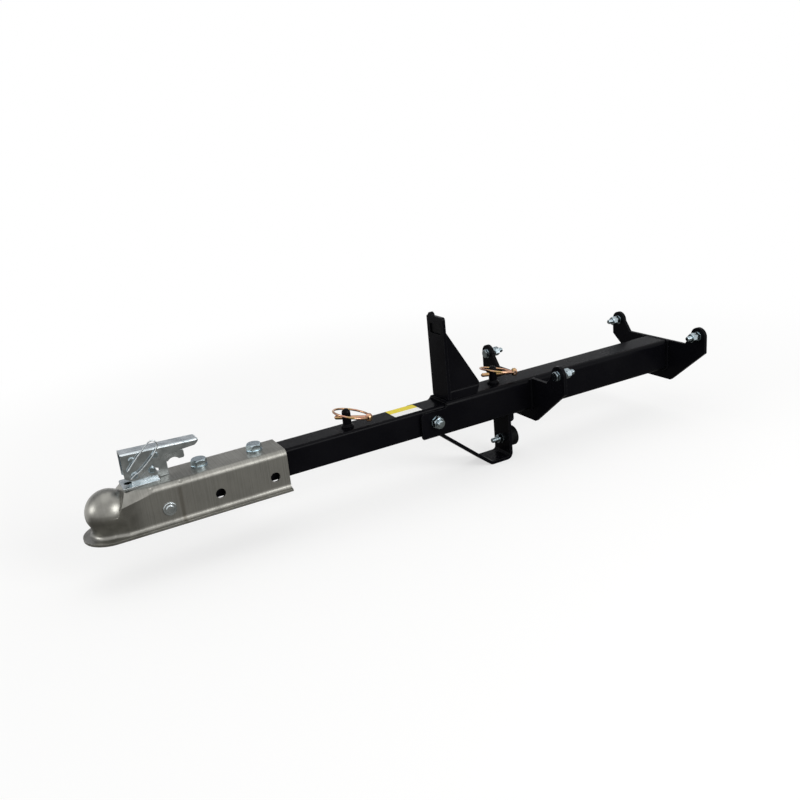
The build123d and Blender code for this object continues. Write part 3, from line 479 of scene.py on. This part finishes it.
def rounded_sheet(name, low, high, corner, axes, thickness):
    """Thin sheet with round corners in the plane of two axes, raised or lowered along the third."""
    across, along = axes
    up = 3 - across - along
    made = bmesh.new()
    loop = []
    for number, (sign_a, sign_b) in enumerate(((1, 1), (-1, 1), (-1, -1), (1, -1))):
        for step in range(round_steps + 1):
            angle = (number + step / round_steps) * pi / 2
            spot = Vector((0, 0, 0))
            edge_a = high[across] if sign_a > 0 else low[across]
            edge_b = high[along] if sign_b > 0 else low[along]
            spot[across] = edge_a - sign_a * corner + corner * cos(angle)
            spot[along] = edge_b - sign_b * corner + corner * sin(angle)
            spot[up] = low[up]
            loop.append(spot)
    bottom = [made.verts.new(spot) for spot in loop]
    lift = Vector((0, 0, 0))
    lift[up] = thickness
    top = [made.verts.new(spot + lift) for spot in loop]
    made.faces.new(bottom)
    made.faces.new(top)
    for number in range(len(loop)):
        after = (number + 1) % len(loop)
        made.faces.new((bottom[number], bottom[after], top[after], top[number]))
    bmesh.ops.recalc_face_normals(made, faces=made.faces)
    rim = [edge for edge in made.edges if all(vertex in top for vertex in edge.verts)]
    bmesh.ops.bevel(made, geom=rim, offset=abs(thickness) * rim_share, segments=2, affect="EDGES")
    mesh = bpy.data.meshes.new(name)
    made.to_mesh(mesh)
    made.free()
    return mesh


black_rubber = mat_rubber()
# A dark sheet put on the recess floor as painted shade.
shade_sheet_mesh = rounded_sheet(  # the recess opens towards the coupler, at low x
    "recess_shade_sheet", shade_sheet_low, shade_sheet_high, shade_sheet_round, (1, 2), -shade_sheet_thickness
)
place_mesh("recess_shade_sheet", shade_sheet_mesh, black_rubber, "rear_frame")

# Blank sticker
# A printed vinyl sticker, pressed on across the tongue ahead of the pivot. It is glossy,
# plain yellow on its far half and plain white on its near half.
sticker_low = Vector((-526.0, -14.4, 20.0)) * mm
sticker_high = Vector((-480.5, 15.8, 20.0)) * mm
sticker_corner = 1.2 * mm
sticker_thickness = 0.22 * mm
sticker_split = 0.2 * mm  # where the yellow meets the white, across the tongue


def printed_vinyl():
    """Glossy vinyl, yellow on one half and white on the other."""
    material, tree = start_material("printed_vinyl")
    where = add_node(tree, "ShaderNodeTexCoord").outputs["Object"]
    parts = add_node(tree, "ShaderNodeSeparateXYZ", None, {"Vector": where})
    print_edge = 0.1 * mm
    half = add_node(
        tree, "ShaderNodeMapRange",
        {"From Min": sticker_split - print_edge, "From Max": sticker_split + print_edge},
        {"Value": parts.outputs["Y"]},
    )
    scuff_width = 8 * mm
    scuff = add_node(
        tree, "ShaderNodeTexNoise", {"Scale": 1 / scuff_width, "Detail": 6.0}, {"Vector": where}
    )
    paint = add_node(
        tree, "ShaderNodeMix",
        {"data_type": "RGBA", 6: hex_linear("#F4F4F1"), 7: hex_linear("#E4D02C")},
        {0: half.outputs["Result"]},
    )
    soiled = add_node(
        tree, "ShaderNodeMapRange",
        {"From Min": 0.55, "From Max": 0.8, "To Min": 0.0, "To Max": 0.16},
        {"Value": scuff.outputs["Fac"]},
    )
    colour = add_node(
        tree, "ShaderNodeMix", {"data_type": "RGBA", 7: hex_linear("#9A968A")},
        {0: soiled.outputs["Result"], 6: paint.outputs[2]},
    )
    rough = add_node(
        tree, "ShaderNodeMapRange",
        {"From Min": 0.3, "From Max": 0.7, "To Min": 0.28, "To Max": 0.45},
        {"Value": scuff.outputs["Fac"]},
    )
    surface = add_node(
        tree, "ShaderNodeBsdfPrincipled", {"Metallic": 0.0, "IOR": 1.46, "Specular IOR Level": 0.3},
        {"Base Color": colour.outputs[2], "Roughness": rough.outputs["Result"]},
    )
    add_node(tree, "ShaderNodeOutputMaterial", None, {"Surface": surface.outputs["BSDF"]})
    return material


sticker_mesh = rounded_sheet(
    "blank_sticker", sticker_low, sticker_high, sticker_corner, (0, 1), sticker_thickness
)
place_mesh("blank_sticker", sticker_mesh, printed_vinyl(), "tongue")

# Bolts, nuts and stud
# Cold headed steel with rolled threads, barrel plated with bright zinc. The plating
# gives a cool bluish shine with a faint mottle, darker in the thread's roots.


def zinc_plate():
    """Bright bluish zinc plating on machined steel."""
    material, tree = start_material("bright_zinc_plate")
    where = add_node(tree, "ShaderNodeTexCoord").outputs["Object"]
    mottle_width = 7 * mm
    grain_width = 0.5 * mm
    edge_round = 0.25 * mm
    mottle = add_node(
        tree, "ShaderNodeTexNoise", {"Scale": 1 / mottle_width, "Detail": 3.0}, {"Vector": where}
    )
    grain = add_node(
        tree, "ShaderNodeTexNoise", {"Scale": 1 / grain_width, "Detail": 2.0}, {"Vector": where}
    )
    colour = add_node(tree, "ShaderNodeValToRGB", None, {"Fac": mottle.outputs["Fac"]})
    colour.color_ramp.elements[0].position = 0.3
    colour.color_ramp.elements[0].color = hex_linear("#9AA7AD")
    colour.color_ramp.elements[1].position = 0.75
    colour.color_ramp.elements[1].color = hex_linear("#B9C6CC")
    rough = add_node(
        tree, "ShaderNodeMapRange",
        {"From Min": 0.3, "From Max": 0.7, "To Min": 0.14, "To Max": 0.24},
        {"Value": mottle.outputs["Fac"]},
    )
    rounded = add_node(tree, "ShaderNodeBevel", {"samples": 4, "Radius": edge_round})
    bump = add_node(
        tree, "ShaderNodeBump", {"Strength": 0.12, "Distance": 0.03 * mm},
        {"Height": grain.outputs["Fac"], "Normal": rounded.outputs["Normal"]},
    )
    surface = add_node(
        tree, "ShaderNodeBsdfPrincipled", {"Metallic": 1.0},
        {
            "Base Color": colour.outputs["Color"],
            "Roughness": rough.outputs["Result"],
            "Normal": bump.outputs["Normal"],
        },
    )
    add_node(tree, "ShaderNodeOutputMaterial", None, {"Surface": surface.outputs["BSDF"]})
    return material


bright_zinc = zinc_plate()
finish_nodes(
    bright_zinc,
    (
        "rear_plate_nuts", "middle_plate_nuts", "pivot_washers", "pivot_nut", "foot_nut",
        "coupler_washers", "coupler_nuts", "clamp_stem", "stem_nut",
    ),
)
thread_sides = 28
rows_per_turn = 5
thread_depth_share = 0.54  # of the pitch
thread_flat = 0.12  # of the depth, at crest and root
bare_reach = 1.6 * mm  # plain shank under the head
end_bevel = 0.9 * mm
shank_slack = 0.03 * mm  # how far off a face may lie and still belong to the plain shank


def add_thread(made, start, end, radius, pitch):
    """Rod with a right-hand thread rolled on it, from start to a bevelled end."""
    length = (end - start).length
    way = (end - start) / length
    side = way.orthogonal().normalized()
    other = way.cross(side)
    depth = pitch * thread_depth_share
    count = int(length / pitch * rows_per_turn)
    rows = []
    for row_number in range(count + 1):
        along = length * row_number / count
        limit = radius - max(0.0, end_bevel - (length - along))
        row = []
        for number in range(thread_sides):
            angle = 2 * pi * number / thread_sides
            place = (along / pitch - number / thread_sides) % 1.0
            slope = abs(2 * place - 1) * (1 + 2 * thread_flat) - thread_flat
            height = min(1.0, max(0.0, slope))
            reach = radius if along < bare_reach else min(limit, radius - depth * (1 - height))
            out = side * cos(angle) + other * sin(angle)
            row.append(made.verts.new(start + way * along + out * reach))
        rows.append(row)
    for first, second in zip(rows, rows[1:]):
        for number in range(thread_sides):
            after = (number + 1) % thread_sides
            face = made.faces.new((first[number], first[after], second[after], second[number]))
            face.smooth = True
    made.faces.new(rows[0][::-1])
    made.faces.new(rows[-1])


def threaded(name, node, body, radius, pitch, shanks):
    """Copy of a bolt's node with its plain shanks changed for threaded ones."""
    made = bmesh.new()
    made.from_mesh(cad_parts[node].data)
    plain = []
    for start, end in shanks:
        way = (end - start).normalized()
        length = (end - start).length
        for face in made.faces:
            inside = True
            for vertex in face.verts:
                gap = vertex.co - start
                along = gap.dot(way)
                out = (gap - way * along).length
                inside = inside and out < radius + shank_slack
                inside = inside and -shank_slack < along < length + shank_slack
            if inside:
                plain.append(face)
    bmesh.ops.delete(made, geom=plain, context="FACES")
    for start, end in shanks:
        add_thread(made, start, end, radius, pitch)
    mesh = bpy.data.meshes.new(name)
    made.to_mesh(mesh)
    made.free()
    bolt = place_mesh(name, mesh, bright_zinc, body)
    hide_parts(node)


lug_y = 88.4
lug_z = 43.5
m8_radius = 4.0 * mm
m8_pitch = 1.25 * mm
m10_radius = 5.0 * mm
m10_pitch = 1.5 * mm
half_inch_radius = 6.35 * mm
half_inch_pitch = 1.954 * mm
lug_bolts = (  # the x that the head stands on, and how far the shank runs from there
    ("rear_plate", 0.0, -29.0), ("middle_plate", -291.0, 29.0),
)
for name, seat, reach in lug_bolts:
    threaded(
        name + "_flange_bolts", name + "_bolts", "rear_frame", m8_radius, m8_pitch,
        [
            tuple(Vector((x, side * lug_y, lug_z)) * mm for x in (seat, seat + reach))
            for side in (-1, 1)
        ],
    )
lock_nut_across = 13.0 * mm
lock_nut_height = 8.0 * mm
nut_points = 48  # points round the nut, eight to each flat
nut_face_share = 0.475  # of the width across flats, the radius of the flat face
chamfer_slope = 0.55
lock_nut_seats = (  # the x that the nut stands on, and which way along x it stands
    ("rear", -13.0, -1), ("middle", -278.0, 1),
)


def lock_nut(name, start, way, body):
    """Plain hexagon nut, chamfered on both faces, run up against the flange nut."""
    made = bmesh.new()
    side = way.orthogonal().normalized()
    other = way.cross(side)
    top = lock_nut_height
    face_radius = lock_nut_across * nut_face_share
    rings = [[], [], [], [], [], []]
    for number in range(nut_points):
        angle = 2 * pi * number / nut_points
        off_middle = (angle + pi / 6) % (pi / 3) - pi / 6
        reach = lock_nut_across / 2 / cos(off_middle)
        drop = (reach - face_radius) * chamfer_slope
        out = side * cos(angle) + other * sin(angle)
        spots = (
            (m8_radius, 0.0), (face_radius, 0.0), (reach, drop),
            (reach, top - drop), (face_radius, top), (m8_radius, top),
        )
        for ring, (far, along) in zip(rings, spots):
            ring.append(made.verts.new(start + out * far + way * along))
    for ring, upper in zip(rings, rings[1:] + rings[:1]):
        for number in range(nut_points):
            after = (number + 1) % nut_points
            made.faces.new((ring[number], ring[after], upper[after], upper[number]))
    bmesh.ops.recalc_face_normals(made, faces=made.faces)
    mesh = bpy.data.meshes.new(name)
    made.to_mesh(mesh)
    made.free()
    place_mesh(name, mesh, bright_zinc, body)


for name, side in (("near", -1), ("far", 1)):
    for plate, start_x, way_x in lock_nut_seats:
        start = Vector((start_x, side * lug_y, lug_z)) * mm
        lock_nut(plate + "_lock_nut_" + name, start, Vector((way_x, 0, 0)), "rear_frame")

pivot_x = -465.0
pivot_shank = (27.2, -40.7)  # from y to y
threaded(
    "pivot_threaded_bolt", "pivot_bolt", "rear_frame", m10_radius, m10_pitch,
    [tuple(Vector((pivot_x, y, 0)) * mm for y in pivot_shank)],
)
stud_height = -68.5
stud_shank = (-320.5, -353.0)  # from x to x
threaded(
    "foot_threaded_stud", "foot_stud", "tongue", m8_radius, m8_pitch,
    [tuple(Vector((x, 0, stud_height)) * mm for x in stud_shank)],
)
coupler_bolt_places = (-811.7, -735.5)
coupler_shank = (25.8, -36.5)  # from z to z
threaded(
    "coupler_hex_bolts", "coupler_bolts", "tongue", half_inch_radius, half_inch_pitch,
    [tuple(Vector((x, 0, z)) * mm for z in coupler_shank) for x in coupler_bolt_places],
)

# Ball coupler and clamp
# Pressed from bare 3 mm steel sheet, warm grey under thin oil. The dies leave fine draw
# marks round the channel, a dark band where the blank was held and a smoother dome.


def drawn_steel():
    """Bare pressed steel with draw marks across the channel."""
    material, tree = start_material("bare_drawn_steel")
    where = add_node(tree, "ShaderNodeTexCoord").outputs["Object"]
    mark_width = 0.8 * mm
    mark_length = 60 * mm
    stain_width = 34 * mm
    speck_width = 1.4 * mm
    edge_round = 0.5 * mm
    dome_smooth = -914 * mm  # the dome is stretched smooth over its punch up to here
    dome_marked = -892 * mm  # and the draw marks are at full strength from here
    dome_rough = 0.36
    band_place = -848 * mm
    band_half = 4.6 * mm  # half of its width
    band_most = 0.42
    band_top = 16 * mm  # it fades in from this height
    band_full = 12 * mm  # down to this one
    stretched = add_node(
        tree, "ShaderNodeMapping", {"Scale": (1 / mark_width, 1 / mark_length, 1 / mark_length)},
        {"Vector": where},
    )
    marks = add_node(
        tree, "ShaderNodeTexNoise", {"Scale": 1.0, "Detail": 4.0, "Roughness": 0.6},
        {"Vector": stretched.outputs["Vector"]},
    )
    stain = add_node(
        tree, "ShaderNodeTexNoise", {"Scale": 1 / stain_width, "Detail": 6.0, "Roughness": 0.55},
        {"Vector": where},
    )
    specks = add_node(
        tree, "ShaderNodeTexNoise", {"Scale": 1 / speck_width, "Detail": 2.0}, {"Vector": where}
    )
    parts = add_node(tree, "ShaderNodeSeparateXYZ", None, {"Vector": where})
    channel = add_node(
        tree, "ShaderNodeMapRange",
        {"interpolation_type": "SMOOTHSTEP", "From Min": dome_smooth, "From Max": dome_marked},
        {"Value": parts.outputs["X"]},
    )
    mark_share = add_node(
        tree, "ShaderNodeMapRange", {"To Min": 0.1, "To Max": 0.5},
        {"Value": channel.outputs["Result"]},
    )
    tone = add_node(
        tree, "ShaderNodeMix", {"data_type": "FLOAT"},
        {0: mark_share.outputs["Result"], 2: stain.outputs["Fac"], 3: marks.outputs["Fac"]},
    )
    colour = add_node(tree, "ShaderNodeValToRGB", None, {"Fac": tone.outputs[0]})
    colour.color_ramp.elements[0].position = 0.32
    colour.color_ramp.elements[0].color = hex_linear("#777671")
    colour.color_ramp.elements[1].position = 0.68
    colour.color_ramp.elements[1].color = hex_linear("#9D9C96")
    off_band = add_node(
        tree, "ShaderNodeMath", {"operation": "SUBTRACT", 1: band_place}, {0: parts.outputs["X"]}
    )
    beside = add_node(tree, "ShaderNodeMath", {"operation": "ABSOLUTE"}, {0: off_band.outputs[0]})
    band = add_node(
        tree, "ShaderNodeMapRange",
        {
            "interpolation_type": "SMOOTHSTEP", "From Min": 0.0, "From Max": band_half,
            "To Min": band_most, "To Max": 0.0,
        },
        {"Value": beside.outputs[0]},
    )
    below_bend = add_node(
        tree, "ShaderNodeMapRange",
        {"interpolation_type": "SMOOTHSTEP", "From Min": band_top, "From Max": band_full},
        {"Value": parts.outputs["Z"]},
    )
    band_share = add_node(
        tree, "ShaderNodeMath", {"operation": "MULTIPLY"},
        {0: band.outputs["Result"], 1: below_bend.outputs["Result"]},
    )
    banded = add_node(
        tree, "ShaderNodeMix", {"data_type": "RGBA", 7: hex_linear("#4E4538")},
        {0: band_share.outputs[0], 6: colour.outputs["Color"]},
    )
    spotted = add_node(
        tree, "ShaderNodeMapRange",
        {"From Min": 0.66, "From Max": 0.76, "To Min": 0.0, "To Max": 0.3},
        {"Value": specks.outputs["Fac"]},
    )
    sheet = add_node(
        tree, "ShaderNodeMix", {"data_type": "RGBA", 7: hex_linear("#57534A")},
        {0: spotted.outputs["Result"], 6: banded.outputs[2]},
    )
    rounded = add_node(tree, "ShaderNodeBevel", {"samples": 4, "Radius": edge_round})
    # Edges lighten towards pale steel: partly wear, partly a painted highlight.
    steel = add_node(
        tree, "ShaderNodeMix", {"data_type": "RGBA", 7: hex_linear("#BDBBB2")},
        {0: edge_wear_and_highlight(tree, rounded, 0.7), 6: sheet.outputs[2]},
    )
    channel_rough = add_node(
        tree, "ShaderNodeMapRange",
        {"From Min": 0.3, "From Max": 0.7, "To Min": 0.54, "To Max": 0.4},
        {"Value": tone.outputs[0]},
    )
    rough = add_node(
        tree, "ShaderNodeMix", {"data_type": "FLOAT", 2: dome_rough},
        {0: channel.outputs["Result"], 3: channel_rough.outputs["Result"]},
    )
    bump_strength = add_node(
        tree, "ShaderNodeMapRange", {"To Min": 0.02, "To Max": 0.14},
        {"Value": channel.outputs["Result"]},
    )
    bump = add_node(
        tree, "ShaderNodeBump", {"Distance": 0.06 * mm},
        {
            "Height": marks.outputs["Fac"],
            "Strength": bump_strength.outputs["Result"],
            "Normal": rounded.outputs["Normal"],
        },
    )
    surface = add_node(
        tree, "ShaderNodeBsdfPrincipled", {"Metallic": 1.0},
        {
            "Base Color": steel.outputs[2],
            "Roughness": rough.outputs[0],
            "Normal": bump.outputs["Normal"],
        },
    )
    add_node(tree, "ShaderNodeOutputMaterial", None, {"Surface": surface.outputs["BSDF"]})
    return material


bare_steel = drawn_steel()
finish_nodes(bare_steel, ("coupler_body", "ball_clamp"))

# Latch, trigger and rivets
# Folded and stamped sheet, zinc plated before riveting. Its broad faces show long soft
# reflections, fine scratches from handling and a grey bloom.


def plated_sheet():
    """Zinc plated sheet with fine handling scratches."""
    material, tree = start_material("zinc_plated_sheet")
    where = add_node(tree, "ShaderNodeTexCoord").outputs["Object"]
    bloom_width = 14 * mm
    scratch_width = 0.35 * mm  # real scratches are finer, drawn coarser so that they show
    scratch_length = 26 * mm
    scratch_slant = radians(24)
    edge_round = 0.9 * mm
    bloom = add_node(
        tree, "ShaderNodeTexNoise", {"Scale": 1 / bloom_width, "Detail": 5.0}, {"Vector": where}
    )
    stretched = add_node(
        tree, "ShaderNodeMapping",
        {
            "Rotation": (0, scratch_slant, 0),
            "Scale": (1 / scratch_length, 1 / scratch_width, 1 / scratch_width),
        },
        {"Vector": where},
    )
    scratches = add_node(
        tree, "ShaderNodeTexNoise", {"Scale": 1.0, "Detail": 3.0},
        {"Vector": stretched.outputs["Vector"]},
    )
    colour = add_node(tree, "ShaderNodeValToRGB", None, {"Fac": bloom.outputs["Fac"]})
    colour.color_ramp.elements[0].position = 0.32
    colour.color_ramp.elements[0].color = hex_linear("#B2BBBF")
    colour.color_ramp.elements[1].position = 0.7
    colour.color_ramp.elements[1].color = hex_linear("#D2D9DC")
    rounded = add_node(tree, "ShaderNodeBevel", {"samples": 4, "Radius": edge_round})
    # Edges lighten towards pale zinc: partly wear, partly a painted highlight.
    plated = add_node(
        tree, "ShaderNodeMix", {"data_type": "RGBA", 7: hex_linear("#E6ECEE")},
        {0: edge_wear_and_highlight(tree, rounded, 0.6), 6: colour.outputs["Color"]},
    )
    rough = add_node(
        tree, "ShaderNodeMapRange",
        {"From Min": 0.35, "From Max": 0.65, "To Min": 0.17, "To Max": 0.28},
        {"Value": bloom.outputs["Fac"]},
    )
    bump = add_node(
        tree, "ShaderNodeBump", {"Strength": 0.07, "Distance": 0.03 * mm},
        {"Height": scratches.outputs["Fac"], "Normal": rounded.outputs["Normal"]},
    )
    surface = add_node(
        tree, "ShaderNodeBsdfPrincipled", {"Metallic": 1.0},
        {
            "Base Color": plated.outputs[2],
            "Roughness": rough.outputs["Result"],
            "Normal": bump.outputs["Normal"],
        },
    )
    add_node(tree, "ShaderNodeOutputMaterial", None, {"Surface": surface.outputs["BSDF"]})
    return material


finish_nodes(plated_sheet(), ("latch_base", "latch_handle", "latch_trigger", "clamp_pin"))
finish_nodes(bright_zinc, ("latch_rivets", "handle_rivets"))

# Safety clip
# Hard drawn spring wire, bent cold: one leg goes in through the handle, the other runs
# back from the loop and springs against its side. The drawing die leaves it bright.
clip_wire_radius = 0.9 * mm
clip_plane = -14.3  # y of the loop and the free leg, clear of the rivet heads
clip_hole = (-903.5, 46.0)
clip_inside = -5.0  # y of the end that is in the handle
clip_bend = 4.0  # straight run between the handle and the bend
clip_route = (  # x and z along the loop and the free leg
    (-898.4, 52.2), (-887.0, 63.8), (-876.0, 74.3), (-870.5, 78.4), (-864.6, 77.8),
    (-861.7, 72.6), (-864.2, 66.0), (-869.0, 59.5), (-876.5, 52.4), (-884.0, 46.2),
    (-891.0, 41.2), (-896.5, 39.6), (-901.5, 35.6),
)


def spring_wire():
    """Bright hard drawn wire with faint marks."""
    material, tree = start_material("bright_spring_wire")
    where = add_node(tree, "ShaderNodeTexCoord").outputs["Object"]
    mark_width = 2.5 * mm
    marks = add_node(
        tree, "ShaderNodeTexNoise", {"Scale": 1 / mark_width, "Detail": 4.0}, {"Vector": where}
    )
    colour = add_node(tree, "ShaderNodeValToRGB", None, {"Fac": marks.outputs["Fac"]})
    colour.color_ramp.elements[0].position = 0.35
    colour.color_ramp.elements[0].color = hex_linear("#ADB3B6")
    colour.color_ramp.elements[1].position = 0.65
    colour.color_ramp.elements[1].color = hex_linear("#CFD4D6")
    rough = add_node(
        tree, "ShaderNodeMapRange",
        {"From Min": 0.3, "From Max": 0.7, "To Min": 0.3, "To Max": 0.45},
        {"Value": marks.outputs["Fac"]},
    )
    surface = add_node(
        tree, "ShaderNodeBsdfPrincipled", {"Metallic": 1.0},
        {"Base Color": colour.outputs["Color"], "Roughness": rough.outputs["Result"]},
    )
    add_node(tree, "ShaderNodeOutputMaterial", None, {"Surface": surface.outputs["BSDF"]})
    return material


wire_curve = bpy.data.curves.new("safety_clip_wire", "CURVE")
wire_curve.dimensions = "3D"
wire_curve.bevel_depth = clip_wire_radius
wire_curve.bevel_resolution = 4
wire_curve.resolution_u = 8
wire_curve.use_fill_caps = True
wire_points = [
    (clip_hole[0], y, clip_hole[1]) for y in (clip_inside, clip_plane + clip_bend, clip_plane)
]
wire_points += [(x, clip_plane, z) for x, z in clip_route]
wire_line = wire_curve.splines.new("NURBS")
wire_line.points.add(len(wire_points) - 1)
for point, spot in zip(wire_line.points, wire_points):
    point.co = (*(Vector(spot) * mm), 1.0)
wire_line.order_u = 3
wire_line.use_endpoint_u = True
wire_curve.materials.append(spring_wire())
clip_wire = bpy.data.objects.new("safety_clip_wire", wire_curve)
bpy.context.collection.objects.link(clip_wire)
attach(clip_wire, "clip")
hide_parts("safety_clip")

# Linch pins and rings
# Turned and drop forged steel pins with spring steel rings, zinc plated and then
# dipped in yellow chromate, which shades from gold to pink.


def yellow_chromate():
    """Yellow chromate over zinc, with its pink and green drift."""
    material, tree = start_material("yellow_chromate_zinc")
    where = add_node(tree, "ShaderNodeTexCoord").outputs["Object"]
    drift_width = 11 * mm
    drift = add_node(
        tree, "ShaderNodeTexNoise", {"Scale": 1 / drift_width, "Detail": 3.0}, {"Vector": where}
    )
    colour = add_node(tree, "ShaderNodeValToRGB", None, {"Fac": drift.outputs["Fac"]})
    colour.color_ramp.elements[0].position = 0.35
    colour.color_ramp.elements[0].color = hex_linear("#BC8A78")
    colour.color_ramp.elements[1].position = 0.66
    colour.color_ramp.elements[1].color = hex_linear("#AE945C")
    middle = colour.color_ramp.elements.new(0.5)
    middle.color = hex_linear("#C49A7C")
    rough = add_node(
        tree, "ShaderNodeMapRange",
        {"From Min": 0.3, "From Max": 0.7, "To Min": 0.16, "To Max": 0.28},
        {"Value": drift.outputs["Fac"]},
    )
    surface = add_node(
        tree, "ShaderNodeBsdfPrincipled", {"Metallic": 1.0},
        {"Base Color": colour.outputs["Color"], "Roughness": rough.outputs["Result"]},
    )
    add_node(tree, "ShaderNodeOutputMaterial", None, {"Surface": surface.outputs["BSDF"]})
    return material


gold_chromate = yellow_chromate()
finish_nodes(
    gold_chromate, ("front_linch_pin", "front_linch_ring", "rear_linch_pin", "rear_linch_ring")
)
wire_swell = 0.25 * mm  # the real rings' wire is a little thicker than the solids'
for name in ("front_linch_ring", "rear_linch_ring"):
    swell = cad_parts[name].modifiers.new("wire_swell", "DISPLACE")
    swell.strength = wire_swell
    swell.mid_level = 0.0

# Rubber foot
# The foot below the tongue's tail that the folded bar stands on. It is moulded in black
# rubber on its stud, mat with a fine bloom, and a nut holds it to the strap.
finish_nodes(black_rubber, ("rubber_foot",))
